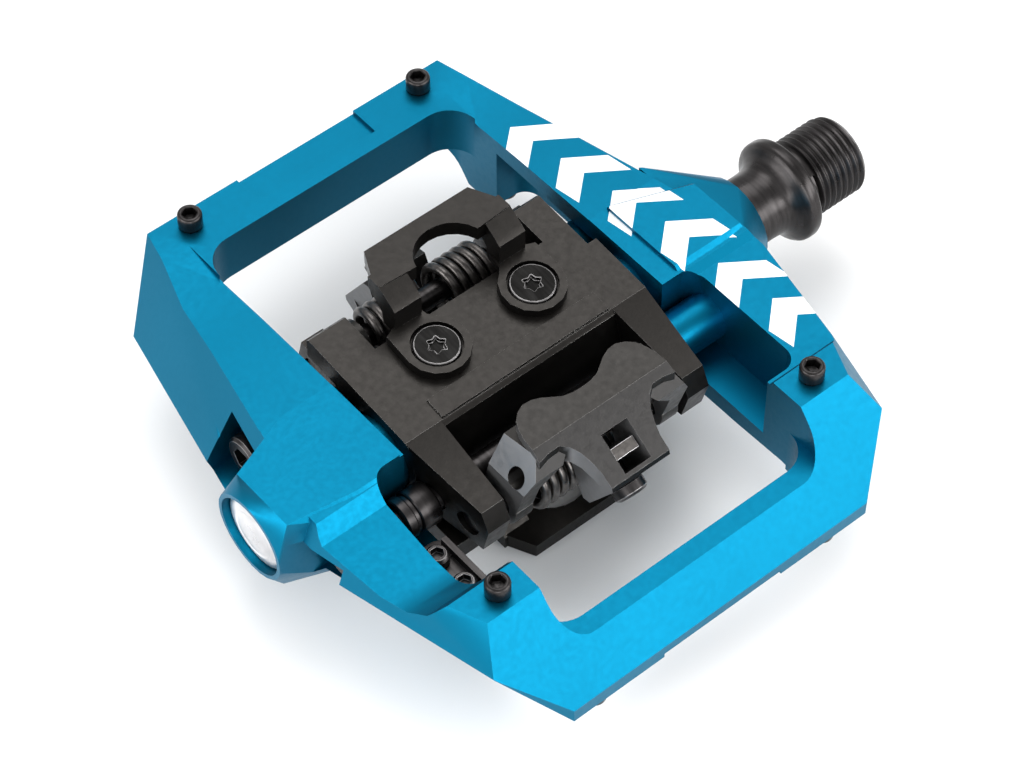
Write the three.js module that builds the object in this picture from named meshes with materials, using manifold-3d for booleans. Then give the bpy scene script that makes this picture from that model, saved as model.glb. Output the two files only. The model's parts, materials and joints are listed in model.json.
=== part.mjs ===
// Clipless bicycle pedal for the left crank: a one-piece cage turns on a stub spindle and carries a
// two-sided cleat binding. +X runs along the spindle towards the crank, +Y is the toe side, +Z is up.
// The cage and the binding look the same after half a turn about the spindle, so every top piece has
// a twin below it. Millimetres.
import * as THREE from 'three';
import { ConvexGeometry } from 'three/addons/geometries/ConvexGeometry.js';
import { mergeVertices } from 'three/addons/utils/BufferGeometryUtils.js';
import Module from 'manifold-3d';

const wasm = await Module();
wasm.setup();

// ---- Driving dimensions -------------------------------------------------------------------------
const GAP = 0.3;                // clearance between neighbouring pieces
const CAGE_HALF_Y = 53;         // platform length is twice this
const CAGE_HALF_Z = 8.9;        // platform thickness is twice this
const END_HALF_X = 30;          // half width of the straight front and back edges
const LEDGE_Z = 0.6;            // low ledge of the front bar
const WINDOW_HALF_X = 26.3;     // half width of the two big windows
const WINDOW_Y = 44;            // outer edge of the windows
const POCKET_HALF_X = 33;       // pockets milled beside the binding arms
const POCKET_Y = 33;
const BOSS_R = 7.9;             // crank end of the spindle boss
const BOSS_DECK_Z = 9.6;        // flat deck over the spindle, the highest part of the cage
const BORE_R = 7;               // bearing bore in both bosses
const TUBE_R = 6.6;             // cage tube around the spindle, inside the binding body
const TUBE_BORE_R = 5.2;        // its bore, which the spindle crosses with clearance
const SEAT_X = [-32.6, 37.9];   // inner ends of the two bearing bores
const CRANK_FACE_X = 50;        // crank end of the cage
const OUTER_FACE_X = -50.2;     // outboard end of the cage
const NECK_R = 6.15;            // spindle between the cage and the wrench flange
const FLANGE_R = 9.25;          // flange that seats against the crank arm
const FLANGE_X = [58.6, 61.2];
const THREAD_R = 7.144;         // 9/16 inch thread
const THREAD_END_X = 73.5;
const HEX_KEY = 8;              // across the flats of the socket in the spindle's end
const CAP_X = [-49.8, -44.6];   // outer and inner faces of the end cap, which sits inside its bore
const PIN_HEAD_R = 2.05;
const PIN_SHANK_R = 1.6;
const PIN_TIP_Z = 6;            // how far in the pins reach
const PINS = [[23.5, 50], [-23.5, 50], [31.6, -37.2], [-31.6, -37.2]]; // x and y on the upper face
const BOLT_Y = 12.3;            // long bolts that clamp the binding between the cage sides
const BOLT_R = 2.2;
const BODY_HALF_X = 24.4;       // binding body
const ARM_X = 17.4;             // inner face of its arms, which hold the rear jaws' hinge pins
const TOP_SLOPE = 0.0976;       // rise of its top plane towards the toe
const CLAW_SCREW = [9.74, 4.1];
const CLAW_TOP_Z = 18.5;
const PIVOT = [-19.5, 0];       // y and z of the rear jaw's hinge pin
const PIVOT_R = 2;
const JAW_HALF_X = 14.3;        // gripping plate of the rear jaw
const EAR_X = [13.2, 16.6];     // inner and outer faces of the jaw's ears at the hinge pin
const COIL_R = 4;               // torsion spring, mean radius
const WIRE_R = 0.8;
const SPRING_X = [3.1, 12.1];   // how far from the middle each spring starts and ends
const ADJUST_ANGLE = Math.atan2(5.8, 8.6);  // tension screw's dip below -Y
const ADJUST_R = 1.4;
const ADJUST_SEAT = [-29.75, 1.35];           // y and z of its seat on the jaw's tail

// ---- Materials ----------------------------------------------------------------------------------
const finish = (color, roughness, metalness) =>
  new THREE.MeshStandardMaterial({ color, roughness, metalness });
const BLUE = () => finish(0x0087c0, 0.38, 0.85);
const BLACK = () => finish(0x3a3634, 0.5, 0.7);
const STEEL = () => finish(0x1c1c1e, 0.35, 0.9);
const BARE = () => finish(0xc9c9cc, 0.3, 0.95);
const RUBBER = () => finish(0x111111, 0.8, 0);

// ---- Solid helpers ------------------------------------------------------------------------------
function solid(geometry) {
  geometry.deleteAttribute('normal');
  geometry.deleteAttribute('uv');
  const merged = mergeVertices(geometry, 1e-4);
  const index = merged.index.array;
  return new wasm.Manifold(new wasm.Mesh({
    numProp: 3,
    vertProperties: new Float32Array(merged.attributes.position.array),
    triVerts: new Uint32Array(index),
  }));
}

function geometryOf(shape) {
  const mesh = shape.getMesh();
  const geometry = new THREE.BufferGeometry();
  geometry.setAttribute('position', new THREE.BufferAttribute(new Float32Array(mesh.vertProperties), 3));
  geometry.setIndex(new THREE.BufferAttribute(new Uint32Array(mesh.triVerts), 1));
  geometry.computeVertexNormals();
  return geometry;
}

const union = (shapes) => shapes.reduce((a, b) => a.add(b));
const cut = (shape, tools) => tools.reduce((a, b) => a.subtract(b), shape);

// A copy after half a turn about the spindle.
const halfTurn = (shape) => solid(geometryOf(shape).rotateX(Math.PI));
// A copy mirrored left to right; mirroring flips the faces, so their winding is turned back.
function mirrorX(shape) {
  const geometry = geometryOf(shape).scale(-1, 1, 1);
  const index = geometry.index.array;
  for (let i = 0; i < index.length; i += 3) [index[i], index[i + 1]] = [index[i + 1], index[i]];
  return solid(geometry);
}
const bothSides = (shape) => [shape, mirrorX(shape)];

const outline = (points) => new THREE.Shape(points.map(([u, v]) => new THREE.Vector2(u, v)));
const straight = (depth) => ({ depth, bevelEnabled: false, curveSegments: 5 });
const AXES = {
  x: new THREE.Matrix4().makeBasis(new THREE.Vector3(0, 1, 0), new THREE.Vector3(0, 0, 1),
    new THREE.Vector3(1, 0, 0)),
  y: new THREE.Matrix4().makeBasis(new THREE.Vector3(0, 0, 1), new THREE.Vector3(1, 0, 0),
    new THREE.Vector3(0, 1, 0)),
  z: new THREE.Matrix4(),
};

// Prism of a closed outline along an axis: the outline is (y, z) along x, (z, x) along y, (x, y) along z.
function prism(axis, shape, from, to) {
  const section = Array.isArray(shape) ? outline(shape) : shape;
  const geometry = new THREE.ExtrudeGeometry(section, straight(to - from));
  return solid(geometry.translate(0, 0, from).applyMatrix4(AXES[axis]));
}

const hull = (points) => solid(new ConvexGeometry(points.map((p) => new THREE.Vector3(...p))));
const box = (x, y, z) =>
  prism('z', [[x[0], y[0]], [x[1], y[0]], [x[1], y[1]], [x[0], y[1]]], z[0], z[1]);

// Round piece about an axis through (a, b): profile is a list of [along the axis, radius].
function turned(axis, profile, [a, b] = [0, 0], segments = 20) {
  const points = profile.map(([along, radius]) => new THREE.Vector2(radius, along));
  const closed = points[0].x > 0 ? [...points, points[0].clone()] : points;
  const geometry = new THREE.LatheGeometry(closed, segments).rotateX(Math.PI / 2).translate(a, b, 0);
  return solid(geometry.applyMatrix4(AXES[axis]));
}
const rod = (axis, radius, from, to, centre, segments = 16) =>
  turned(axis, [[from, 0], [from, radius], [to, radius], [to, 0]], centre, segments);
const ring = (axis, inner, outer, from, to, centre, segments = 16) =>
  turned(axis, [[from, inner], [from, outer], [to, outer], [to, inner]], centre, segments);

function polygon(sides, radius, [a, b] = [0, 0], turn = 0) {
  return Array.from({ length: sides }, (_, i) => {
    const angle = turn + (2 * Math.PI * i) / sides;
    return [a + radius * Math.cos(angle), b + radius * Math.sin(angle)];
  });
}

function roundedRect([x0, x1], [y0, y1], r) {
  const shape = new THREE.Shape();
  shape.moveTo(x0 + r, y0);
  shape.lineTo(x1 - r, y0);
  shape.absarc(x1 - r, y0 + r, r, -Math.PI / 2, 0);
  shape.lineTo(x1, y1 - r);
  shape.absarc(x1 - r, y1 - r, r, 0, Math.PI / 2);
  shape.lineTo(x0 + r, y1);
  shape.absarc(x0 + r, y1 - r, r, Math.PI / 2, Math.PI);
  shape.lineTo(x0, y0 + r);
  shape.absarc(x0 + r, y0 + r, r, Math.PI, 1.5 * Math.PI);
  return shape;
}

// ---- Scene --------------------------------------------------------------------------------------
const pedal = new THREE.Group();
// The origin is on the spindle axis, half-way along the whole length.
pedal.position.x = -(THREAD_END_X + OUTER_FACE_X) / 2;

function add(name, shape, material, turnedOver = false) {
  const mesh = new THREE.Mesh(geometryOf(shape), material);
  mesh.name = name;
  if (turnedOver) mesh.rotation.x = Math.PI;
  pedal.add(mesh);
}

// ---- Cage ---------------------------------------------------------------------------------------
// Front half of the platform: flat top, steep slope down to the thin front edge, flanks that widen
// towards the spindle.
function frontHalf() {
  const points = [];
  for (const s of [-1, 1]) {
    points.push([s * 36.3, -40.5, CAGE_HALF_Z], [s * 40.7, -29.9, CAGE_HALF_Z]);
    points.push([s * 44.5, -12, CAGE_HALF_Z], [s * 44.5, 0, CAGE_HALF_Z]);
    points.push([s * 39.4, -45.6, 2.8], [s * 47.4, -10, 1.5], [s * 47.4, 0, 1.5]);
    points.push([s * END_HALF_X, -CAGE_HALF_Y, -6.2], [s * END_HALF_X, -CAGE_HALF_Y, -CAGE_HALF_Z]);
    points.push([s * 42.5, 0, -CAGE_HALF_Z]);
  }
  return hull(points);
}

// Crank end of the spindle boss: square root in the cage side, round end, raised deck on top.
function crankBoss() {
  const root = [[40, -13, CAGE_HALF_Z], [40, 13, CAGE_HALF_Z],
    [40, -13, -CAGE_HALF_Z], [40, 13, -CAGE_HALF_Z]];
  const end = polygon(24, BOSS_R).map(([y, z]) => [CRANK_FACE_X, y, z]);
  const deck = hull([[30, -7, BOSS_DECK_Z], [30, 9.3, BOSS_DECK_Z], [44, -7, BOSS_DECK_Z],
    [44, 4, BOSS_DECK_Z], [30, -10, 7], [30, 10, 7], [46, -10, 5], [46, 8, 5]]);
  return union([hull([...root, ...end]), deck]);
}

// Outboard end of the spindle boss, the same on both faces after half a turn.
function outboardBoss() {
  const end = polygon(24, BORE_R + 0.75).map(([y, z]) => [OUTER_FACE_X, y, z]);
  const root = [[-36, -12.5, 6], [-36, 9.3, 9.4], [-36, -9.4, 9.4], [-36, 12.5, -6], [-36, -9.3, -9.4],
    [-36, 9.4, -9.4]];
  const deck = [[-27, -9.4, 9.4], [-27, 9.3, 9.4], [-27, -9.3, -9.4], [-27, 9.4, -9.4],
    [-27, -12.5, 6], [-27, 12.5, -6], [-48, -7.5, 9], [-48, 5, 9], [-48, 7.5, -9], [-48, -5, -9]];
  return hull([...end, ...root, ...deck]);
}

// Everything cut from the upper side; the lower side gets the same after half a turn.
function topCuts() {
  const tall = CAGE_HALF_Z + 2;
  const cuts = [
    // low ledge of the front bar and the opening above it
    prism('z', roundedRect([-WINDOW_HALF_X, WINDOW_HALF_X], [-47.4, -20], 5), LEDGE_Z, tall),
    // pockets beside the binding arms, which leave a thin floor
    prism('z', roundedRect([-POCKET_HALF_X, POCKET_HALF_X], [-POCKET_Y, -8.3], 3), -5, tall),
    // shallow relief between the rear pins
    prism('x', [[47, tall], [47, 8.1], [54, 8.1], [54, tall]], -12, 12),
    // the outboard deck between spindle boss and front pin
    prism('x', [[-9.6, 9.5], [-12.4, 6.2], [-24, 4.3], [-29, 4.6], [-32.3, 6.2], [-34.3, 8.9],
      [-34.3, tall], [-9.6, tall]], -50, -26),
    // the crank-side deck sits a little lower than the boss
    prism('x', [[-7.2, 9.7], [-9.8, 7.9], [-33.5, 7.9], [-34.3, 8.9], [-34.3, tall], [-7.2, tall]], 26, 60),
  ];
  for (const [a, b] of [[-60, -WINDOW_HALF_X], [WINDOW_HALF_X, 60]]) {
    // the flanks dip a little from the rear pin pads
    cuts.push(prism('x', [[47, tall], [47, 8.9], [37.5, 7.8], [27, 8.4], [9.6, 8.8], [9.6, tall]], a, b));
  }
  return cuts;
}

// Scoop in the outboard flank and the deep notch that gives access to the long bolt's head.
function flankScoop() {
  const scoop = hull([[-36.5, 34.5, 7.4], [-42.5, 36, 2], [-52, 33, 1.5], [-52, 14, 1.5], [-41.5, 14, 7.6],
    [-48, 30, 9.5], [-52, 14, 9.5], [-44, 14, 1.5]]);
  return [scoop, box([-56, -38.9], [BOLT_Y - 4.6, BOLT_Y + 4.6], [-4.6, 6.4])];
}

const pinHoles = () => PINS.map(([x, y]) =>
  rod('z', PIN_SHANK_R + GAP, PIN_TIP_Z - GAP, 12, [x, y], 10));

const boltHole = (y) => rod('x', BOLT_R + GAP, -40, 31.5, [y, 0]);

function buildCage() {
  const half = frontHalf();
  const blank = union([half, halfTurn(half), crankBoss(), halfTurn(crankBoss()), outboardBoss()]);
  const through = roundedRect([-WINDOW_HALF_X, WINDOW_HALF_X], [-WINDOW_Y, -8], 5.5);
  const frontWindow = prism('z', through, -12, 12);
  const middle = box([-WINDOW_HALF_X, WINDOW_HALF_X], [-14, 14], [-12, 12]);
  const top = topCuts();
  let cage = cut(blank, [frontWindow, halfTurn(frontWindow), middle, ...top, ...top.map(halfTurn)]);
  const bosses = [BOLT_Y, -BOLT_Y].map((y) => rod('x', 4.2, BODY_HALF_X + GAP, 36, [y, 0]));
  cage = union([cage, rod('x', TUBE_R, -30, 30, [0, 0], 28), ...bosses]);
  const scoops = flankScoop();
  const bore = turned('x', [[OUTER_FACE_X - 2, 0], [OUTER_FACE_X - 2, BORE_R], [SEAT_X[0], BORE_R],
    [SEAT_X[0], TUBE_BORE_R], [SEAT_X[1], TUBE_BORE_R], [SEAT_X[1], BORE_R],
    [CRANK_FACE_X + 2, BORE_R], [CRANK_FACE_X + 2, 0]], [0, 0], 28);
  const holes = [...pinHoles(), ...bracketHoles()];
  return cut(cage, [bore, ...scoops, ...scoops.map(halfTurn), ...holes, ...holes.map(halfTurn),
    boltHole(BOLT_Y), boltHole(-BOLT_Y)]);
}

// ---- Spindle and bearings -----------------------------------------------------------------------
function buildSpindle() {
  const profile = [[-42.4, 0], [-42.4, 2.7], [-42, 3], [-32.8, 3], [-32.8, 4.2], [37.8, 4.4], [37.8, 4.5],
    [47.4, 4.5], [47.4, 5.4], [49, NECK_R], [54.5, NECK_R], [57, 6.6], [FLANGE_X[0], 8.6],
    [FLANGE_X[0] + 0.7, FLANGE_R], [FLANGE_X[1] - 0.5, FLANGE_R], [FLANGE_X[1], FLANGE_R - 0.5],
    [FLANGE_X[1], 7.4], [FLANGE_X[1] - 0.4, 6.4], [FLANGE_X[1] + 1.4, 6.4], [FLANGE_X[1] + 2, THREAD_R],
    [THREAD_END_X - 1, THREAD_R], [THREAD_END_X, THREAD_R - 0.9], [THREAD_END_X, 0]];
  const key = prism('x', polygon(6, HEX_KEY / Math.sqrt(3)), THREAD_END_X - 6.5, THREAD_END_X + 1);
  return turned('x', profile).subtract(key);
}

// One cartridge bearing: outer race, inner race, and the balls in their cage.
function addBearing(name, from, width, inner, outer) {
  const middle = from + width / 2;
  const pitch = (inner + outer) / 2;
  const ball = (outer - inner) * 0.24;
  const race = (outer - inner) * 0.2;
  add(`${name}_outer_race`, ring('x', outer - race, outer, from, from + width), BARE());
  add(`${name}_inner_race`, ring('x', inner, inner + race, from, from + width), BARE());
  const balls = polygon(8, pitch).map(([y, z]) =>
    solid(new THREE.IcosahedronGeometry(ball, 0).translate(middle, y, z)));
  const cage = ring('x', pitch - ball * 0.45, pitch + ball * 0.45, middle - ball * 0.6, middle + ball * 0.6,
    [0, 0], 16);
  add(`${name}_balls`, union([cage, ...balls]), STEEL());
}

function buildNut() {
  return prism('x', polygon(6, 5.2), -41.6, -38.9).subtract(rod('x', 3 + GAP, -45, -38));
}

// ---- Long bolts, spacers and brackets -----------------------------------------------------------
function buildLongBolt() {
  const head = turned('x', [[-42.2, 0], [-42.2, 3.5], [-41.7, 4], [-39.2, 4], [-39.2, 0]], [-BOLT_Y, 0]);
  const key = prism('x', polygon(6, 2.3, [-BOLT_Y, 0]), -43, -40);
  return head.add(rod('x', BOLT_R, -39.4, 31, [-BOLT_Y, 0])).subtract(key);
}

const buildSpacer = () => turned('x', [[-31, BOLT_R + GAP], [-31, 3.6], [-29.4, 3.6], [-29.1, 3.2],
  [-28.6, 3.2], [-28.3, 3.65], [-24.9, 3.65], [-24.7, 3.4], [-24.7, BOLT_R + GAP]], [-BOLT_Y, 0]);

const BRACKET_BOLTS = [[-29.9, -20.6], [-29.9, -27.2]];
function bracketHoles() {
  return BRACKET_BOLTS.map((at) => rod('z', 1.5 + GAP, -7.4, -3, at, 10));
}

function buildBracket() {
  const plate = prism('z', roundedRect([-32.5, -26.6], [-32, -17.2], 2), -4.7, -2.6);
  const lip = box([-27.6, -26.6], [-30.6, -18.6], [-2.7, -0.9]);
  return cut(plate.add(lip), BRACKET_BOLTS.map((at) => rod('z', 1.5 + GAP, -6, 0, at, 10)));
}

function buildBracketBolt(at) {
  const head = turned('z', [[-2.3, 0], [-2.3, 1.95], [-0.9, 1.95], [-0.4, 1.5], [-0.4, 0]], at, 16);
  const key = prism('z', polygon(6, 1.15, at), -1.6, 0);
  return head.add(rod('z', 1.5, -7, -2.2, at, 10)).subtract(key);
}

// ---- Binding body -------------------------------------------------------------------------------
// The cleat rests on a low pad along the ridge of the top plane, in front of the claw's tabs.
const REST_Y = -2.3;
const restZ = (y) => 8.1 + TOP_SLOPE * (y + 6.4) + 0.35;

function buildBody() {
  const upper = [[18.3, 6.2], [18.3, 9.9], [17.7, 10.45], [-6.4, 8.1], [-7.2, 7.5], [-9.4, -1],
    [-11.2, -5.6]];
  const section = [...upper, ...upper.map(([y, z]) => [-y, -z])];
  const slab = prism('x', section, -BODY_HALF_X, BODY_HALF_X);
  const pad = prism('x', [[-6.2, 7], [-6.2, restZ(-6.2)], [REST_Y, restZ(REST_Y)], [REST_Y, 7]], -16.9, 16.9);
  const armPoints = [];
  for (const [inner, outer, y, z] of [[ARM_X, BODY_HALF_X, -6.2, 8.1], [ARM_X, BODY_HALF_X, -8.8, 6],
    [18.2, 22.5, -22.3, 5], [18.2, 22.5, -24, 1.5], [18.2, 22.5, -22.6, -4],
    [ARM_X, BODY_HALF_X, -6.2, -4]]) {
    armPoints.push([inner, y, z], [outer, y, z]);
  }
  const arms = bothSides(hull(armPoints));
  const notch = box([22.6, 26], [5.6, 20], [0, 12]);
  const springRoom = box([-ARM_X + GAP, ARM_X - GAP], [10.2, 20], [2, 12]);
  const cuts = [notch, halfTurn(notch), springRoom, halfTurn(springRoom)];
  cuts.push(rod('x', TUBE_R + GAP + 0.1, -30, 30, [0, 0], 28));
  for (const s of [1, -1]) {
    cuts.push(rod('x', BOLT_R + GAP, -30, 30, [s * BOLT_Y, 0]));
    cuts.push(rod('x', PIVOT_R + GAP, -26, 26, [s * PIVOT[0], 0]));
  }
  for (const x of [-CLAW_SCREW[0], CLAW_SCREW[0]]) {
    const hole = clawScrewHole(x);
    cuts.push(hole, halfTurn(hole));
  }
  return cut(union([slab, pad, halfTurn(pad), ...arms, ...arms.map(halfTurn)]), cuts);
}

// ---- Front claw ---------------------------------------------------------------------------------
// The claw and its screws lie on the body's sloping top plane: lengths are from the plane, which a
// small turn about X then tilts.
const PLANE_Z = 9.12;           // height of the top plane at the claw screws
const tilt = (shape) => {
  const [, y] = CLAW_SCREW;
  const angle = Math.atan(TOP_SLOPE);
  return solid(geometryOf(shape).translate(0, -y, 0).rotateX(angle).translate(0, y, PLANE_Z));
};
const clawScrewHole = (x) => tilt(rod('z', 2 + GAP, -4, 2, [x, CLAW_SCREW[1]], 12));

function buildClaw() {
  const [sx, sy] = CLAW_SCREW;
  const tabShape = new THREE.Shape();
  tabShape.moveTo(sx + 5.6, sy);
  tabShape.lineTo(15.1, 9.9);
  tabShape.lineTo(7.9, 12.9);
  tabShape.lineTo(7.4, 9.6);
  tabShape.absarc(sx, sy, 5.6, 2.1, 2 * Math.PI);
  const tab = tilt(cut(prism('z', tabShape, GAP, 1.9), [
    rod('z', 2 + GAP, -1, 3, [sx, sy], 12),
    rod('z', 4 + GAP, 0.9, 3, [sx, sy], 24),
  ]));
  const leg = prism('x', [[9.9, 10.4], [9.9, 15.6], [10.9, 16.5], [13.8, CLAW_TOP_Z], [16.5, CLAW_TOP_Z],
    [16.5, 16], [13.2, 13], [12.9, 10.6]], 7.9, 13.2);
  const arch = new THREE.Shape();
  arch.moveTo(-10.4, 21);
  arch.lineTo(-12.9, 15.9);
  arch.lineTo(-12.9, 13.6);
  arch.lineTo(-6.2, 13.2);
  arch.absarc(0, 11.6, 6.2 / Math.cos(0.25), Math.PI - 0.25, 0.25, true);
  arch.lineTo(12.9, 13.6);
  arch.lineTo(12.9, 15.9);
  arch.lineTo(10.4, 21);
  const bar = prism('z', arch, 15.7, CLAW_TOP_Z);
  const nose = hull([[-14, 19.6, 20], [14, 19.6, 20], [-14, 22, 17.2], [14, 22, 17.2],
    [-14, 23, 20], [14, 23, 20]]);
  return cut(union([...bothSides(tab), ...bothSides(leg), bar]), [nose]);
}

function buildClawScrew(x) {
  const at = [x, CLAW_SCREW[1]];
  const head = turned('z', [[0.95, 0], [0.95, 4], [1.5, 4], [1.8, 3.7], [1.8, 0]], at, 24);
  const star = Array.from({ length: 12 }, (_, i) => {
    const radius = i % 2 ? 1.15 : 1.7;
    const angle = (Math.PI * i) / 6;
    return [at[0] + radius * Math.cos(angle), at[1] + radius * Math.sin(angle)];
  });
  return tilt(head.add(rod('z', 2, -2.9, 1.2, at, 12)).subtract(prism('z', star, 0.95, 3)));
}

// ---- Rear jaw -----------------------------------------------------------------------------------
// Moves a shape drawn along +X, with its seat at the origin, onto the tension screw's dipping axis.
const ontoAdjuster = (shape) => solid(geometryOf(shape).rotateZ(-Math.PI / 2).rotateX(ADJUST_ANGLE)
  .translate(0, ADJUST_SEAT[0], ADJUST_SEAT[1]));

const smooth = (points, steps) =>
  new THREE.SplineCurve(points.map(([x, y]) => new THREE.Vector2(x, y))).getPoints(steps);

// The jaw seen from above: two lobes that grip the cleat, and a narrow tail.
function jawOutline() {
  const lobe = [[0, -19.3], [3.4, -18.8], [6.2, -17], [9.2, -16.2], [12, -18], [13.2, -21.2]];
  const mirrored = lobe.slice(1).map(([x, y]) => [-x, y]);
  const wave = smooth([...lobe.reverse(), ...mirrored], 20);
  const scallop = smooth([[-13.6, -25.4], [-9.4, -25], [-6.9, -27.4], [-5.8, -31]], 6);
  const back = scallop.map((p) => new THREE.Vector2(-p.x, p.y)).reverse();
  const tailEnd = [new THREE.Vector2(-5.8, -36), new THREE.Vector2(5.8, -36)];
  return new THREE.Shape([...wave, ...scallop, ...tailEnd, ...back]);
}

function buildJaw() {
  const section = [[-15.5, 14.9], [-16.4, 15], [-23.6, 14.5], [-33.2, 8.1], [-31.9, 5.2], [-24.4, 10.4],
    [-19.4, 12.2], [-15.5, 12.5]];
  const plate = prism('x', section, -JAW_HALF_X, JAW_HALF_X).intersect(prism('z', jawOutline(), 0, 20));
  const tail = prism('x', [[-23.5, 14.3], [-33.2, 8.1], [-33.4, 7.2], [-28.2, -0.7], [-26.6, -1],
    [-23.9, 4.9]], -5.8, 5.8);
  const cheek = new THREE.Shape();
  cheek.moveTo(-17.2, 12.6);
  cheek.lineTo(-24.2, 13.4);
  cheek.lineTo(-26.2, 10.2);
  cheek.lineTo(-23.4, 0.8);
  cheek.absarc(PIVOT[0], PIVOT[1], 4, Math.PI - 0.2, 0.25, false);
  cheek.lineTo(-16.9, 7);
  const [inner, outer] = EAR_X;
  const leaning = prism('y', [[-6, -outer], [7.2, -outer], [15.3, -12.3], [15.3, -8], [11.9, -8],
    [6.2, -inner], [-6, -inner]], -30, -10);
  const ears = bothSides(prism('x', cheek, -outer, -8).intersect(leaning));
  const slot = ontoAdjuster(box([-8.6, -1.6], [-2.6, 2.6], [-2.7, 12]));
  const shaft = ontoAdjuster(rod('x', ADJUST_R + GAP, -3, 2));
  const eyes = rod('x', 1.7, -20, 20, [-22.6, 8.6], 20);
  const pivot = rod('x', PIVOT_R + GAP, -20, 20, PIVOT);
  return cut(union([plate, tail, ...ears]), [slot, shaft, eyes, pivot]);
}

function buildTensionScrew() {
  const head = turned('x', [[GAP, 0], [GAP, 2.9], [1.9, 2.9], [2.4, 2.3], [2.4, 0]], [0, 0], 20);
  const key = prism('x', polygon(6, 1.7), 1, 3);
  return ontoAdjuster(head.add(rod('x', ADJUST_R, -8, 1)).subtract(key));
}

function buildTensionNut() {
  const block = box([-5.9, -3.9], [-2.25, 2.25], [-2.35, 6.6]);
  return ontoAdjuster(block.subtract(rod('x', ADJUST_R + GAP, -9, 0)));
}

// Torsion spring on the hinge pin, on the outboard side (-1) or the crank side (1) of the jaw's tail.
function buildSpring(side) {
  const turns = 5;
  const [start, end] = SPRING_X;
  const points = [];
  for (let i = 0; i <= turns * 12; i += 1) {
    const angle = (2 * Math.PI * i) / 12 + 2.2;
    const x = side * (start + ((end - start) * i) / (turns * 12));
    const [y, z] = [PIVOT[0] + COIL_R * Math.cos(angle), PIVOT[1] + COIL_R * Math.sin(angle)];
    points.push(new THREE.Vector3(x, y, z));
  }
  const path = new THREE.CatmullRomCurve3(points);
  const wire = new THREE.Shape();
  wire.absarc(0, 0, WIRE_R, 0, 2 * Math.PI);
  return solid(new THREE.ExtrudeGeometry(wire,
    { steps: turns * 9, extrudePath: path, curveSegments: 3, bevelEnabled: false }));
}

// ---- Traction pin and small round pieces --------------------------------------------------------
function buildPin([x, y]) {
  const z = CAGE_HALF_Z + GAP;
  const head = turned('z', [[z, 0], [z, PIN_HEAD_R], [z + 2.3, PIN_HEAD_R], [z + 2.7, PIN_HEAD_R - 0.4],
    [z + 2.7, 0]], [x, y], 18);
  const shank = rod('z', PIN_SHANK_R, PIN_TIP_Z, z + 0.4, [x, y], 10);
  return head.add(shank).subtract(prism('z', polygon(6, 1.15, [x, y]), z + 0.9, z + 4));
}

const buildEndCap = () => turned('x', [[CAP_X[0], 0], [CAP_X[0] + 0.3, 4], [CAP_X[0] + 1.1, BORE_R - GAP],
  [CAP_X[1], BORE_R - GAP], [CAP_X[1], 0]]);

// ---- Assembly -----------------------------------------------------------------------------------
add('cage', buildCage(), BLUE());
add('end_cap', buildEndCap(), BARE());
add('spindle', buildSpindle(), STEEL());
add('dust_seal', ring('x', NECK_R + 0.15, BORE_R - 0.15, 49.05, 49.95, [0, 0], 24), RUBBER());
addBearing('inner_bearing_a', 38.2, 4.4, 4.8, 6.7);
addBearing('inner_bearing_b', 42.9, 4.2, 4.8, 6.7);
addBearing('outer_bearing', -38, 5, 3.3, 6.7);
add('spindle_washer', ring('x', 3 + GAP, 4.6, -38.7, -38.2), BARE());
add('spindle_nut', buildNut(), BARE());
add('binding_body', buildBody(), BLACK());

for (const [face, over] of [['top', false], ['bottom', true]]) {
  add(`${face}_front_claw`, buildClaw(), BLACK(), over);
  add(`${face}_claw_screw_outer`, buildClawScrew(-CLAW_SCREW[0]), STEEL(), over);
  add(`${face}_claw_screw_crank`, buildClawScrew(CLAW_SCREW[0]), STEEL(), over);
  add(`${face}_rear_jaw`, buildJaw(), BLACK(), over);
  add(`${face}_jaw_pin`, rod('x', PIVOT_R, -22.3, 22.3, PIVOT), STEEL(), over);
  add(`${face}_spring_outer`, buildSpring(-1), STEEL(), over);
  add(`${face}_spring_crank`, buildSpring(1), STEEL(), over);
  add(`${face}_tension_nut`, buildTensionNut(), BARE(), over);
  add(`${face}_tension_screw`, buildTensionScrew(), STEEL(), over);
  add(`${face}_long_bolt`, buildLongBolt(), STEEL(), over);
  add(`${face}_bolt_spacer`, buildSpacer(), STEEL(), over);
  add(`${face}_bracket`, buildBracket(), STEEL(), over);
  BRACKET_BOLTS.forEach((at, i) => add(`${face}_bracket_bolt_${i + 1}`, buildBracketBolt(at), STEEL(), over));
  PINS.forEach((at, i) => add(`${face}_pin_${i + 1}`, buildPin(at), STEEL(), over));
}

export default pedal;
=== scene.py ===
import json
import math

import bmesh
import bpy
from mathutils import Matrix, Vector


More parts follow.
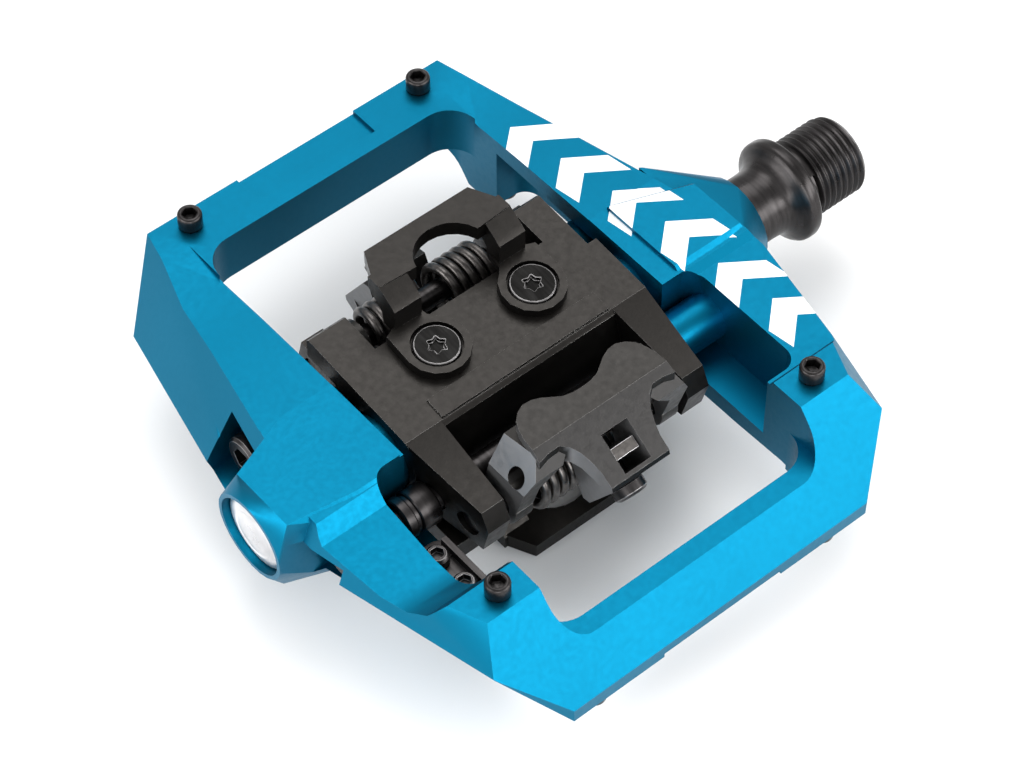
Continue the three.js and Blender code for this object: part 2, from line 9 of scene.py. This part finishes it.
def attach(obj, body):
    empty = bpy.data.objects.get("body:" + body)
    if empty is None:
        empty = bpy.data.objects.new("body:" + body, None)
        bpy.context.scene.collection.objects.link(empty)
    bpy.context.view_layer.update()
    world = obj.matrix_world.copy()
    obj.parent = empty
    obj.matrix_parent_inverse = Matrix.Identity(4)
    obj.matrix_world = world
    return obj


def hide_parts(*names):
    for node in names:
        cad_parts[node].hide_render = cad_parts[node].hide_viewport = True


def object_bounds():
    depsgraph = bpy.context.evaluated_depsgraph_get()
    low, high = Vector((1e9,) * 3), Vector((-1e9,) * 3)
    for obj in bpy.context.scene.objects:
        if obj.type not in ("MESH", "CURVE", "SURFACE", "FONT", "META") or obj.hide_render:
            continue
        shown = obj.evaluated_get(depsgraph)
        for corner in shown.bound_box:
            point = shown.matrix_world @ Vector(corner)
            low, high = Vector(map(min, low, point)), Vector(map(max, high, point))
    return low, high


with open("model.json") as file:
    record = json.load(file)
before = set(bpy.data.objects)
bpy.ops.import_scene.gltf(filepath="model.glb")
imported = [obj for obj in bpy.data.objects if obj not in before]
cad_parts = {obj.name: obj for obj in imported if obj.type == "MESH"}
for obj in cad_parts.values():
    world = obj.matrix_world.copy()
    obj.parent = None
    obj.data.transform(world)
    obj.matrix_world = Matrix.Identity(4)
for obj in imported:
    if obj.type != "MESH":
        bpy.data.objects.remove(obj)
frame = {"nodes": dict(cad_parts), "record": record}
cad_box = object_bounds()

MM = 0.001
NODES = frame["nodes"]
FACES = ("top", "bottom")

# The origin is on the spindle's axis, half-way along the whole length. The shapes below are in mm
# from the cage's middle.
CAGE_X = -11.65             # where the cage's middle lies along the spindle, mm
AXIS_X = Matrix(((0, 0, 1, CAGE_X), (1, 0, 0, 0), (0, 1, 0, 0), (0, 0, 0, 1)))
HALF_TURN = Matrix.Rotation(math.pi, 4, "X")

THREAD_X = (63.4, 72.6)     # threaded stretch of the spindle
THREAD_R = 7.14             # outside radius, 9/16 inch
THREAD_PITCH = 1.27         # 20 threads per inch, left-hand
THREAD_DEPTH = 0.66
COIL_R = 4.0
WIRE_R = 0.8
COIL_TURNS = 5
COIL_X = (3.1, 12.1)
PIVOT_Y = -19.5
PIN_PLACES = [(23.5, 50), (-23.5, 50), (31.6, -37.2), (-31.6, -37.2)]
PIN_SEAT_Z = 9.2            # underside of the pins' heads
LONG_BOLT_Y = -12.3
CHEVRON_STEP = 11           # distance between printed chevrons, and how much of it is ink
CHEVRON_SHARE = 0.45
CHEVRON_Y = (-26, 35)       # where the row of them starts and ends
CHEVRON_HALF = 5.6          # half width of each
CHEVRON_SLANT = 0.8
ANODISED_METALLIC = 0.94


# ---- Material helpers ---------------------------------------------------------------------------
class Shader:
    """A Principled material with short ways to add nodes to it."""

    def __init__(self, name, color, metallic, roughness):
        self.material = bpy.data.materials.new(name)
        self.material.use_nodes = True
        self.tree = self.material.node_tree
        self.bsdf = self.tree.nodes["Principled BSDF"]
        self.bsdf.inputs["Base Color"].default_value = (*color, 1)
        self.bsdf.inputs["Metallic"].default_value = metallic
        self.bsdf.inputs["Roughness"].default_value = roughness
        texture = self.add("ShaderNodeTexCoord")
        self.coords = texture.outputs["Object"]
        self.normal = texture.outputs["Normal"]

    def add(self, kind, **settings):
        node = self.tree.nodes.new(kind)
        for key, value in settings.items():
            setattr(node, key, value)
        return node

    def link(self, source, target):
        self.tree.links.new(source, target)

    def math(self, operation, a, b=0.0):
        node = self.add("ShaderNodeMath", operation=operation)
        for socket, value in zip(node.inputs, (a, b)):
            if isinstance(value, (int, float)):
                socket.default_value = value
            else:
                self.link(value, socket)
        return node.outputs[0]

    def xyz(self, vector):
        """The three numbers of a vector, as outputs named X, Y and Z."""
        node = self.add("ShaderNodeSeparateXYZ")
        self.link(vector, node.inputs[0])
        return node.outputs

    def noise(self, scale, detail=3.0, stretch=(1, 1, 1)):
        mapping = self.add("ShaderNodeMapping")
        mapping.inputs["Scale"].default_value = stretch
        self.link(self.coords, mapping.inputs["Vector"])
        node = self.add("ShaderNodeTexNoise")
        node.inputs["Scale"].default_value = scale
        node.inputs["Detail"].default_value = detail
        self.link(mapping.outputs["Vector"], node.inputs["Vector"])
        return node.outputs["Fac"]

    def spread(self, value, low, high, start=0.3, end=0.7):
        node = self.add("ShaderNodeMapRange")
        for name, number in (("From Min", start), ("From Max", end), ("To Min", low), ("To Max", high)):
            node.inputs[name].default_value = number
        self.link(value, node.inputs["Value"])
        return node.outputs["Result"]

    def mix(self, factor, a, b):
        node = self.add("ShaderNodeMix", data_type="RGBA")
        self.link(factor, node.inputs["Factor"])
        for socket, value in ((node.inputs[6], a), (node.inputs[7], b)):
            if isinstance(value, tuple):
                socket.default_value = (*value, 1)
            else:
                self.link(value, socket)
        return node.outputs[2]

    def color(self, value):
        self.link(value, self.bsdf.inputs["Base Color"])

    def roughness(self, value):
        self.link(value, self.bsdf.inputs["Roughness"])

    def bump(self, height, distance, strength=1.0):
        node = self.add("ShaderNodeBump")
        node.inputs["Distance"].default_value = distance
        node.inputs["Strength"].default_value = strength
        self.link(height, node.inputs["Height"])
        self.link(node.outputs["Normal"], self.bsdf.inputs["Normal"])


# ---- Materials ----------------------------------------------------------------------------------
def chevron_mask(s):
    """1 inside the printed white chevrons along the crank-side flank of both faces."""
    place, normal = s.xyz(s.coords), s.xyz(s.normal)
    side = s.math("SIGN", place["Z"])
    y = s.math("DIVIDE", s.math("MULTIPLY", place["Y"], side), MM)
    x = s.math("SUBTRACT", s.math("DIVIDE", place["X"], MM), CAGE_X)
    middle = s.math("SUBTRACT", 35.2, s.math("MULTIPLY", y, 0.15))
    off = s.math("ABSOLUTE", s.math("SUBTRACT", x, middle))
    along = s.math("ADD", y, s.math("MULTIPLY", off, CHEVRON_SLANT))
    phase = s.math("FRACT", s.math("DIVIDE", s.math("SUBTRACT", along, CHEVRON_Y[0]), CHEVRON_STEP))
    parts = [s.math("LESS_THAN", phase, CHEVRON_SHARE),
             s.math("LESS_THAN", off, CHEVRON_HALF),
             s.math("LESS_THAN", along, CHEVRON_Y[1]),
             s.math("GREATER_THAN", along, CHEVRON_Y[0]),
             s.math("GREATER_THAN", s.math("ABSOLUTE", normal["Z"]), 0.75),
             s.math("GREATER_THAN", s.math("ABSOLUTE", place["Z"]), 6.5 * MM)]
    mask = parts[0]
    for part in parts[1:]:
        mask = s.math("MULTIPLY", mask, part)
    return mask


def anodised_blue(name, base, printed):
    """Anodised aluminium with a fine blasted grain, and white print on it if printed."""
    s = Shader(name, base, ANODISED_METALLIC, 0.4)
    dark = tuple(c * 0.94 for c in base)
    tint = s.mix(s.spread(s.noise(45, 2), 0, 1), dark, base)
    roughness = s.spread(s.noise(1200, 2), 0.37, 0.44)
    if printed:
        mask = chevron_mask(s)
        ink = s.mix(s.noise(500, 3), (0.78, 0.8, 0.82), (0.92, 0.93, 0.94))
        tint = s.mix(mask, tint, ink)
        metallic = s.math("MULTIPLY", s.math("SUBTRACT", 1.0, mask), ANODISED_METALLIC)
        s.link(metallic, s.bsdf.inputs["Metallic"])
        roughness = s.math("ADD", roughness, s.math("MULTIPLY", mask, 0.1))
    s.color(tint)
    s.roughness(roughness)
    s.bump(s.noise(3800, 2), 0.01 * MM, 0.4)
    return s.material


def cast_black(name, base, metallic, roughness, painted_highlight=None):
    """Blackened casting, with painted shade: its sides are painted darker than the faces that look up
    or down. A painted highlight colour, where it is given, shows on the faces along the spindle, and
    faintly on the slope behind them."""
    s = Shader(name, base, metallic, roughness)
    warm = tuple(c * 1.18 for c in base)
    # painted shade: the sides take 0.4 of the base colour
    sides = tuple(c * 0.4 for c in base)
    normal = s.xyz(s.normal)
    painted_shade_level = s.spread(s.math("ABSOLUTE", normal["Z"]), 0, 1, 0.15, 0.75)
    tint = s.mix(painted_shade_level, sides, s.mix(s.spread(s.noise(1100, 4), 0, 1), base, warm))
    if painted_highlight:
        # painted highlight on the faces along the spindle and on the rear slope
        ear_highlight = s.spread(s.math("ABSOLUTE", normal["X"]), 0, 1, 0.6, 0.75)
        tint = s.mix(ear_highlight, tint, painted_highlight)
        slope = s.math("MULTIPLY", normal["Y"], normal["Z"])
        tint = s.mix(s.spread(slope, 0.12, 0, -0.42, -0.3), tint, painted_highlight)
    s.color(tint)
    s.roughness(s.spread(s.noise(900, 4), roughness - 0.05, roughness + 0.07))
    s.bump(s.noise(2400, 4), 0.03 * MM, 0.5)
    return s.material


def turned_steel(name, base, roughness, stretch):
    """Machined steel: fine marks round the axis that stretch is small along."""
    s = Shader(name, base, 0.95, roughness)
    marks = s.noise(1500, 2, stretch)
    bright = tuple(min(1.0, c * 1.6 + 0.004) for c in base)
    s.color(s.mix(s.spread(marks, 0, 1), base, bright))
    s.roughness(s.spread(s.noise(400, 3), roughness - 0.05, roughness + 0.1))
    s.bump(marks, 0.01 * MM, 0.4)
    return s.material


def moulded_rubber():
    s = Shader("seal_rubber", (0.02, 0.02, 0.02), 0.0, 0.75)
    s.color(s.mix(s.noise(800, 3), (0.015, 0.015, 0.015), (0.035, 0.034, 0.033)))
    s.bump(s.noise(1800, 3), 0.03 * MM, 0.5)
    return s.material


ROUND_X = (1, 0.1, 0.1)     # turning marks that run round the spindle's axis
EVEN = (1, 1, 1)
MATERIALS = {
    "blue_alloy": anodised_blue("anodised_blue", (0.0, 0.135, 0.24), True),
    # lighter blue on the bevelled edges: painted highlight
    "blue_edge_highlight": anodised_blue("anodised_blue_edge", (0.01, 0.23, 0.38), False),
    "silver_cap": turned_steel("turned_aluminium", (0.5, 0.5, 0.51), 0.3, ROUND_X),
    "cast_steel": cast_black("cast_black_steel", (0.02, 0.0182, 0.0165), 0.8, 0.34),
    # the jaw's grey extra colour is a painted highlight
    "jaw_steel": cast_black("jaw_black_steel", (0.024, 0.0225, 0.021), 0.8, 0.34, (0.2, 0.2, 0.205)),
    # lighter bevels on the castings: wear and painted highlight
    "worn_edge_and_highlight": cast_black("worn_black_edge_and_highlight", (0.24, 0.235, 0.23), 0.95, 0.3),
    "black_steel": turned_steel("black_oxide_steel", (0.028, 0.026, 0.026), 0.3, ROUND_X),
    # lighter bevels on the turned black parts: painted highlight
    "black_edge": turned_steel("black_oxide_edge_highlight", (0.16, 0.155, 0.155), 0.3, ROUND_X),
    "screw_black": turned_steel("screw_black", (0.004, 0.0038, 0.0036), 0.32, ROUND_X),
    "spring_steel": turned_steel("spring_wire", (0.07, 0.065, 0.062), 0.32, EVEN),
    "bare_steel": turned_steel("bearing_steel", (0.55, 0.55, 0.56), 0.22, ROUND_X),
    "seal_rubber": moulded_rubber(),
}
# the edge materials are lighter: painted highlight on the bevels, with wear on the castings
EDGES = {"blue_alloy": "blue_edge_highlight", "cast_steel": "worn_edge_and_highlight", "black_steel": "black_edge"}
LOOKS = {"rear_jaw": "jaw_steel", "claw_screw_outer": "screw_black", "claw_screw_crank": "screw_black",
         "tension_nut": "spring_steel"}


# ---- CAD nodes that stay ------------------------------------------------------------------------
def kind_of(name):
    """A node's name without the face that it is on: top_rear_jaw is a rear_jaw."""
    return name.split("_", 1)[-1]


def finish_node(name, slot, bevel_mm):
    """Gives a CAD node its material, rounded edges and smooth shading; its own mesh stays as it is."""
    node = NODES[name]
    node.data.materials.clear()
    node.data.materials.append(MATERIALS[LOOKS.get(kind_of(name), slot)])
    # the second slot is for the bevels: a lighter colour where EDGES gives one, a painted highlight
    node.data.materials.append(MATERIALS[EDGES.get(slot, slot)])
    node.data.polygons.foreach_set("material_index", [0] * len(node.data.polygons))
    node.data.polygons.foreach_set("use_smooth", [True] * len(node.data.polygons))
    weld = node.modifiers.new("weld", "WELD")
    weld.merge_threshold = 1e-6
    flat = node.modifiers.new("flat", "DECIMATE")
    flat.decimate_type = "DISSOLVE"
    flat.angle_limit = math.radians(0.6)
    edge = node.modifiers.new("edge", "BEVEL")
    edge.width = bevel_mm * MM
    edge.segments = 2
    edge.limit_method = "ANGLE"
    edge.angle_limit = math.radians(26)
    edge.harden_normals = True
    edge.material = 1
    edge.miter_outer = "MITER_ARC"
    normals = node.modifiers.new("normals", "WEIGHTED_NORMAL")
    normals.keep_sharp = True


# Edge radii in mm, by the node's name without its face where that fits.
BEVELS = {"cage": 0.45, "binding_body": 0.35, "front_claw": 0.3, "rear_jaw": 0.35, "bracket": 0.15}
SMALL_BEVEL = 0.12
SLOT_OF = {row["node"]: row["material_slot"] for row in frame["record"]["subparts"]}
for node_name, slot_name in SLOT_OF.items():
    kind = node_name if node_name in BEVELS else kind_of(node_name)
    finish_node(node_name, slot_name, BEVELS.get(kind, SMALL_BEVEL))


# ---- Mesh helpers -------------------------------------------------------------------------------
def make_piece(name, verts, faces, slot, body, replaced, smooth_angle=35):
    """A new mesh, in mm, that rides on a body and takes a CAD node's place."""
    mesh = bpy.data.meshes.new(name)
    mesh.from_pydata([Vector(v) * MM for v in verts], [], faces)
    shape = bmesh.new()
    shape.from_mesh(mesh)
    bmesh.ops.remove_doubles(shape, verts=shape.verts, dist=1e-7)
    bmesh.ops.recalc_face_normals(shape, faces=shape.faces)
    shape.to_mesh(mesh)
    shape.free()
    mesh.polygons.foreach_set("use_smooth", [True] * len(mesh.polygons))
    mesh.set_sharp_from_angle(angle=math.radians(smooth_angle))
    mesh.materials.append(MATERIALS[slot])
    obj = bpy.data.objects.new(name, mesh)
    bpy.context.scene.collection.objects.link(obj)
    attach(obj, body)
    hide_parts(replaced)
    return obj


def body_of(node):
    for body, members in frame["record"]["behaviour"]["bodies"].items():
        if node in members:
            return body


def spin(rings, segments=64, closed=False):
    """Round shape about Z: rings are (height, radius), where a radius may be a function of the angle.
    A closed one joins its last ring to its first, as a tube does; the others are capped."""
    verts, faces = [], []
    for height, radius in rings:
        for i in range(segments):
            angle = 2 * math.pi * i / segments
            r = radius(angle) if callable(radius) else radius
            verts.append((r * math.cos(angle), r * math.sin(angle), height))
    count = len(rings)
    for k in range(count if closed else count - 1):
        a, b = k * segments, ((k + 1) % count) * segments
        for i in range(segments):
            j = (i + 1) % segments
            faces.append((a + i, a + j, b + j, b + i))
    if not closed:
        faces.append(tuple(range(segments - 1, -1, -1)))
        faces.append(tuple(range((count - 1) * segments, count * segments)))
    return verts, faces


def placed(shape, matrix):
    verts, faces = shape
    return [matrix @ Vector(v) for v in verts], faces


def hexagon(across):
    return lambda angle: across / 2 / math.cos((angle + math.pi / 6) % (math.pi / 3) - math.pi / 6)


# ---- Spindle ------------------------------------------------------------------------------------
def thread_rings():
    """Left-hand V thread as rings whose radius changes round the axis, run out at both ends."""
    steps = int((THREAD_X[1] - THREAD_X[0]) / THREAD_PITCH * 14)
    rings = []
    for k in range(steps + 1):
        x = THREAD_X[0] + (THREAD_X[1] - THREAD_X[0]) * k / steps

        def radius(angle, x=x):
            phase = (x / THREAD_PITCH + angle / (2 * math.pi)) % 1.0
            depth = min(1.0, max(0.0, abs(phase - 0.5) * 2.5 - 0.12))
            return THREAD_R - THREAD_DEPTH * depth
        rings.append((x, radius))
    return rings


def build_spindle():
    root = THREAD_R - THREAD_DEPTH
    rings = [(-42.4, 2.6), (-42.0, 3.0), (-32.8, 3.0), (-32.8, 4.2), (37.8, 4.4), (37.8, 4.5),
             (47.4, 4.5), (47.4, 5.4), (48.9, 6.0), (49.1, 6.12), (54.2, 6.12), (55.4, 6.2),
             (56.4, 6.42), (57.2, 6.85), (57.9, 7.6), (58.4, 8.3), (58.8, 8.9), (59.2, 9.18),
             (59.7, 9.25), (60.6, 9.25), (61.0, 9.1), (61.2, 8.75), (61.2, 7.4), (60.8, 6.5),
             (61.0, root - 0.1), (63.0, root - 0.1)]
    rings += thread_rings()
    key = hexagon(8.0)
    rings += [(72.9, THREAD_R - 0.3), (73.3, root), (73.45, root - 0.4), (73.5, root - 0.8), (73.5, 4.9),
              (73.0, key), (67.3, key), (66.6, 2.6), (66.2, 0.3)]
    shape = placed(spin(rings, 120), AXIS_X)
    make_piece("spindle_turned", *shape, "black_steel", "spindle_body", "spindle", 50)


# ---- Round pieces on the cage -------------------------------------------------------------------
def build_end_cap():
    rings = [(-44.6, 0.5), (-44.6, 6.7), (-48.6, 6.7), (-48.8, 6.62), (-48.95, 6.4), (-49.3, 5.4),
             (-49.54, 4.3), (-49.46, 4.1), (-49.5, 3.7), (-49.7, 2.6), (-49.8, 1.3), (-49.8, 0.3)]
    make_piece("end_cap_turned", *placed(spin(rings, 96), AXIS_X), "silver_cap", "platform", "end_cap", 30)


def build_pin(face, index, place):
    z = PIN_SEAT_Z
    key = hexagon(2.3)
    rings = [(6.0, 1.3), (6.3, 1.58), (z - 0.1, 1.58), (z, 1.7), (z, 1.95), (z + 0.12, 2.05),
             (z + 2.2, 2.05), (z + 2.45, 1.97), (z + 2.62, 1.8), (z + 2.7, 1.55), (z + 2.7, 1.42),
             (z + 2.55, key), (z + 0.95, key), (z + 0.7, 0.2)]
    matrix = Matrix.Translation((place[0] + CAGE_X, place[1], 0))
    if face == "bottom":
        matrix = HALF_TURN @ matrix
    name = f"{face}_pin_{index}"
    make_piece(name + "_turned", *placed(spin(rings, 36), matrix), "black_steel", "platform", name, 40)


def build_spacer(face):
    rings = [(-31.0, 2.5), (-31.0, 3.4), (-30.8, 3.6), (-29.5, 3.6), (-29.3, 3.45), (-29.2, 3.2),
             (-28.6, 3.2), (-28.5, 3.5), (-28.3, 3.66), (-25.1, 3.66), (-24.85, 3.55),
             (-24.7, 3.35), (-24.7, 2.5)]
    matrix = AXIS_X @ Matrix.Translation((LONG_BOLT_Y, 0, 0))
    if face == "bottom":
        matrix = HALF_TURN @ matrix
    name = f"{face}_bolt_spacer"
    make_piece(name + "_turned", *placed(spin(rings, 48, True), matrix), "black_steel", "platform", name, 30)


# ---- Springs ------------------------------------------------------------------------------------
def build_spring(face, label, side):
    """Torsion spring round the jaw's hinge pin, with its two ends cut square."""
    per_turn, sides = 28, 12
    steps = COIL_TURNS * per_turn
    verts, faces = [], []
    for k in range(steps + 1):
        t = k / steps
        angle = 2 * math.pi * COIL_TURNS * t + 2.2
        out = Vector((0, math.cos(angle), math.sin(angle)))
        centre = Vector((side * (COIL_X[0] + (COIL_X[1] - COIL_X[0]) * t), PIVOT_Y, 0)) + out * COIL_R
        for i in range(sides):
            a = 2 * math.pi * i / sides
            point = centre + (out * math.cos(a) + Vector((1, 0, 0)) * math.sin(a)) * WIRE_R
            verts.append((point.x + CAGE_X, point.y, point.z))
        if k:
            b, c = (k - 1) * sides, k * sides
            faces += [(b + i, b + (i + 1) % sides, c + (i + 1) % sides, c + i) for i in range(sides)]
    faces.append(tuple(range(sides)))
    faces.append(tuple(range(steps * sides, (steps + 1) * sides)))
    if face == "bottom":
        verts = [(x, -y, -z) for x, y, z in verts]
    name = f"{face}_spring_{label}"
    make_piece(name + "_coil", verts, faces, "spring_steel", body_of(name), name, 50)


build_spindle()
build_end_cap()
for face_name in FACES:
    for number, pin_place in enumerate(PIN_PLACES, 1):
        build_pin(face_name, number, pin_place)
    build_spacer(face_name)
    build_spring(face_name, "outer", -1)
    build_spring(face_name, "crank", 1)


# ---- Floor, light and camera --------------------------------------------------------------------
def build_floor():
    size, height = 3.0, cad_box[0].z - 0.0002
    mesh = bpy.data.meshes.new("floor")
    corners = [(-size, -size, height), (size, -size, height), (size, size, height), (-size, size, height)]
    mesh.from_pydata(corners, [], [(0, 1, 2, 3)])
    s = Shader("floor_paper", (0.9, 0.9, 0.9), 0.0, 0.9)
    s.color(s.mix(s.noise(30, 2), (0.89, 0.89, 0.89), (0.91, 0.91, 0.91)))
    mesh.materials.append(s.material)
    floor = bpy.data.objects.new("floor", mesh)
    bpy.context.scene.collection.objects.link(floor)


def add_light(name, direction, distance, size, power):
    light = bpy.data.lights.new(name, "AREA")
    light.shape = "RECTANGLE"
    light.size, light.size_y = size
    light.energy = power
    obj = bpy.data.objects.new(name, light)
    obj.location = Vector(direction).normalized() * distance
    obj.rotation_mode = "QUATERNION"
    obj.rotation_quaternion = Vector(direction).to_track_quat("Z", "Y")
    bpy.context.scene.collection.objects.link(obj)


def build_lights():
    add_light("front_box", (0.45, -0.86, 0.42), 0.75, (0.7, 0.35), 5.0)
    add_light("top_box", (0.25, 0.35, 0.9), 0.9, (0.6, 0.6), 3.6)
    add_light("side_box", (-0.9, 0.15, 0.4), 0.8, (0.6, 0.4), 4.0)
    add_light("corner_box", (-0.6, -0.7, 0.3), 0.8, (0.5, 0.3), 3.2)
    world = bpy.data.worlds.new("studio")
    world.use_nodes = True
    world.node_tree.nodes["Background"].inputs["Color"].default_value = (1, 1, 1, 1)
    world.node_tree.nodes["Background"].inputs["Strength"].default_value = 0.72
    bpy.context.scene.world = world


def build_camera():
    data = bpy.data.cameras.new("camera")
    data.sensor_width = 36.0
    data.lens = 117.11
    data.clip_start, data.clip_end = 0.01, 20
    camera = bpy.data.objects.new("camera", data)
    right = Vector((0.768002, -0.640429, -0.004853))
    up = Vector((0.503996, 0.599682, 0.621586))
    back = Vector((-0.395171, -0.479825, 0.783331))
    turn = Matrix((right, up, back)).transposed().to_4x4()
    camera.matrix_world = Matrix.Translation((-0.220346, -0.255938, 0.413012)) @ turn
    bpy.context.scene.collection.objects.link(camera)
    bpy.context.scene.camera = camera


build_floor()
build_lights()
build_camera()
bpy.context.scene.view_settings.view_transform = "Standard"
